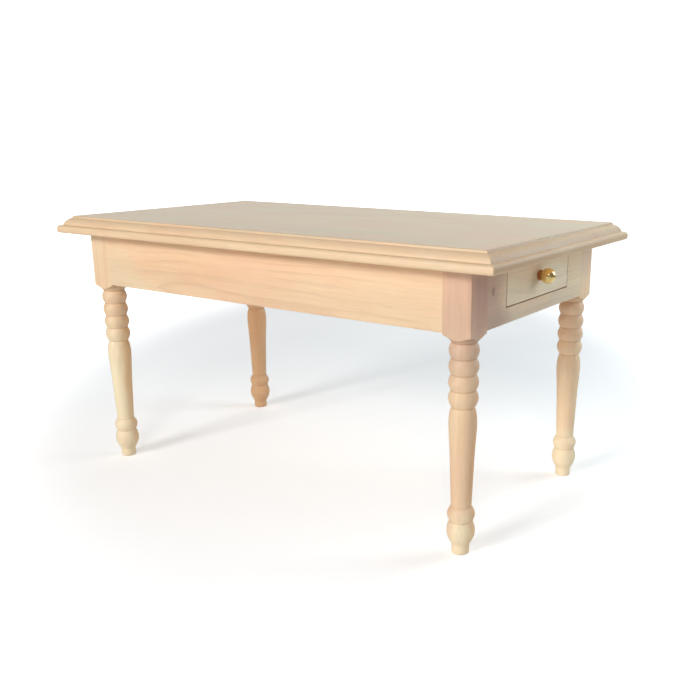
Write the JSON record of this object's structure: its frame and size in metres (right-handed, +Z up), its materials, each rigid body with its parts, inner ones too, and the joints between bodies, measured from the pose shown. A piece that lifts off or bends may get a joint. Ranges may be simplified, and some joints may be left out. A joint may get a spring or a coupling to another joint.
{
  "type": "miniature dining table",
  "caption": "Dolls' house dining table with a moulded rectangular top, turned beaded legs, plain aprons and a shallow end drawer with a ball knob.",
  "frame": {"origin": "on the floor under the middle of the top", "axes": "+X along the table towards the drawer end, +Y across the table, +Z up"},
  "size_m": [0.1244, 0.068, 0.064],
  "materials": {
    "top_wood": "bare pale hardwood, sanded smooth",
    "leg_wood": "bare pale hardwood, turned and sanded",
    "apron_wood": "bare pale hardwood with faint lengthwise grain",
    "drawer_wood": "bare pale hardwood",
    "inner_wood": "bare pale hardwood, as sawn",
    "brass": "polished brass"
  },
  "bodies": {
    "table": {"table_top": "top_wood", "leg_front_left": "leg_wood", "leg_front_right": "leg_wood", "leg_back_left": "leg_wood", "leg_back_right": "leg_wood", "apron_front": "apron_wood", "apron_back": "apron_wood", "apron_left": "apron_wood", "apron_right": "apron_wood", "drawer_runner_front": "inner_wood", "drawer_runner_back": "inner_wood", "drawer_stop": "inner_wood"},
    "drawer": {"drawer_front": "drawer_wood", "drawer_side_front": "inner_wood", "drawer_side_back": "inner_wood", "drawer_end": "inner_wood", "drawer_bottom": "inner_wood", "drawer_knob": "brass"}
  },
  "joints": [
    {"name": "drawer_slide", "type": "slide", "parent": "table", "child": "drawer", "axis": [1, 0, 0], "range_m": [0, 0.034]}
  ]
}
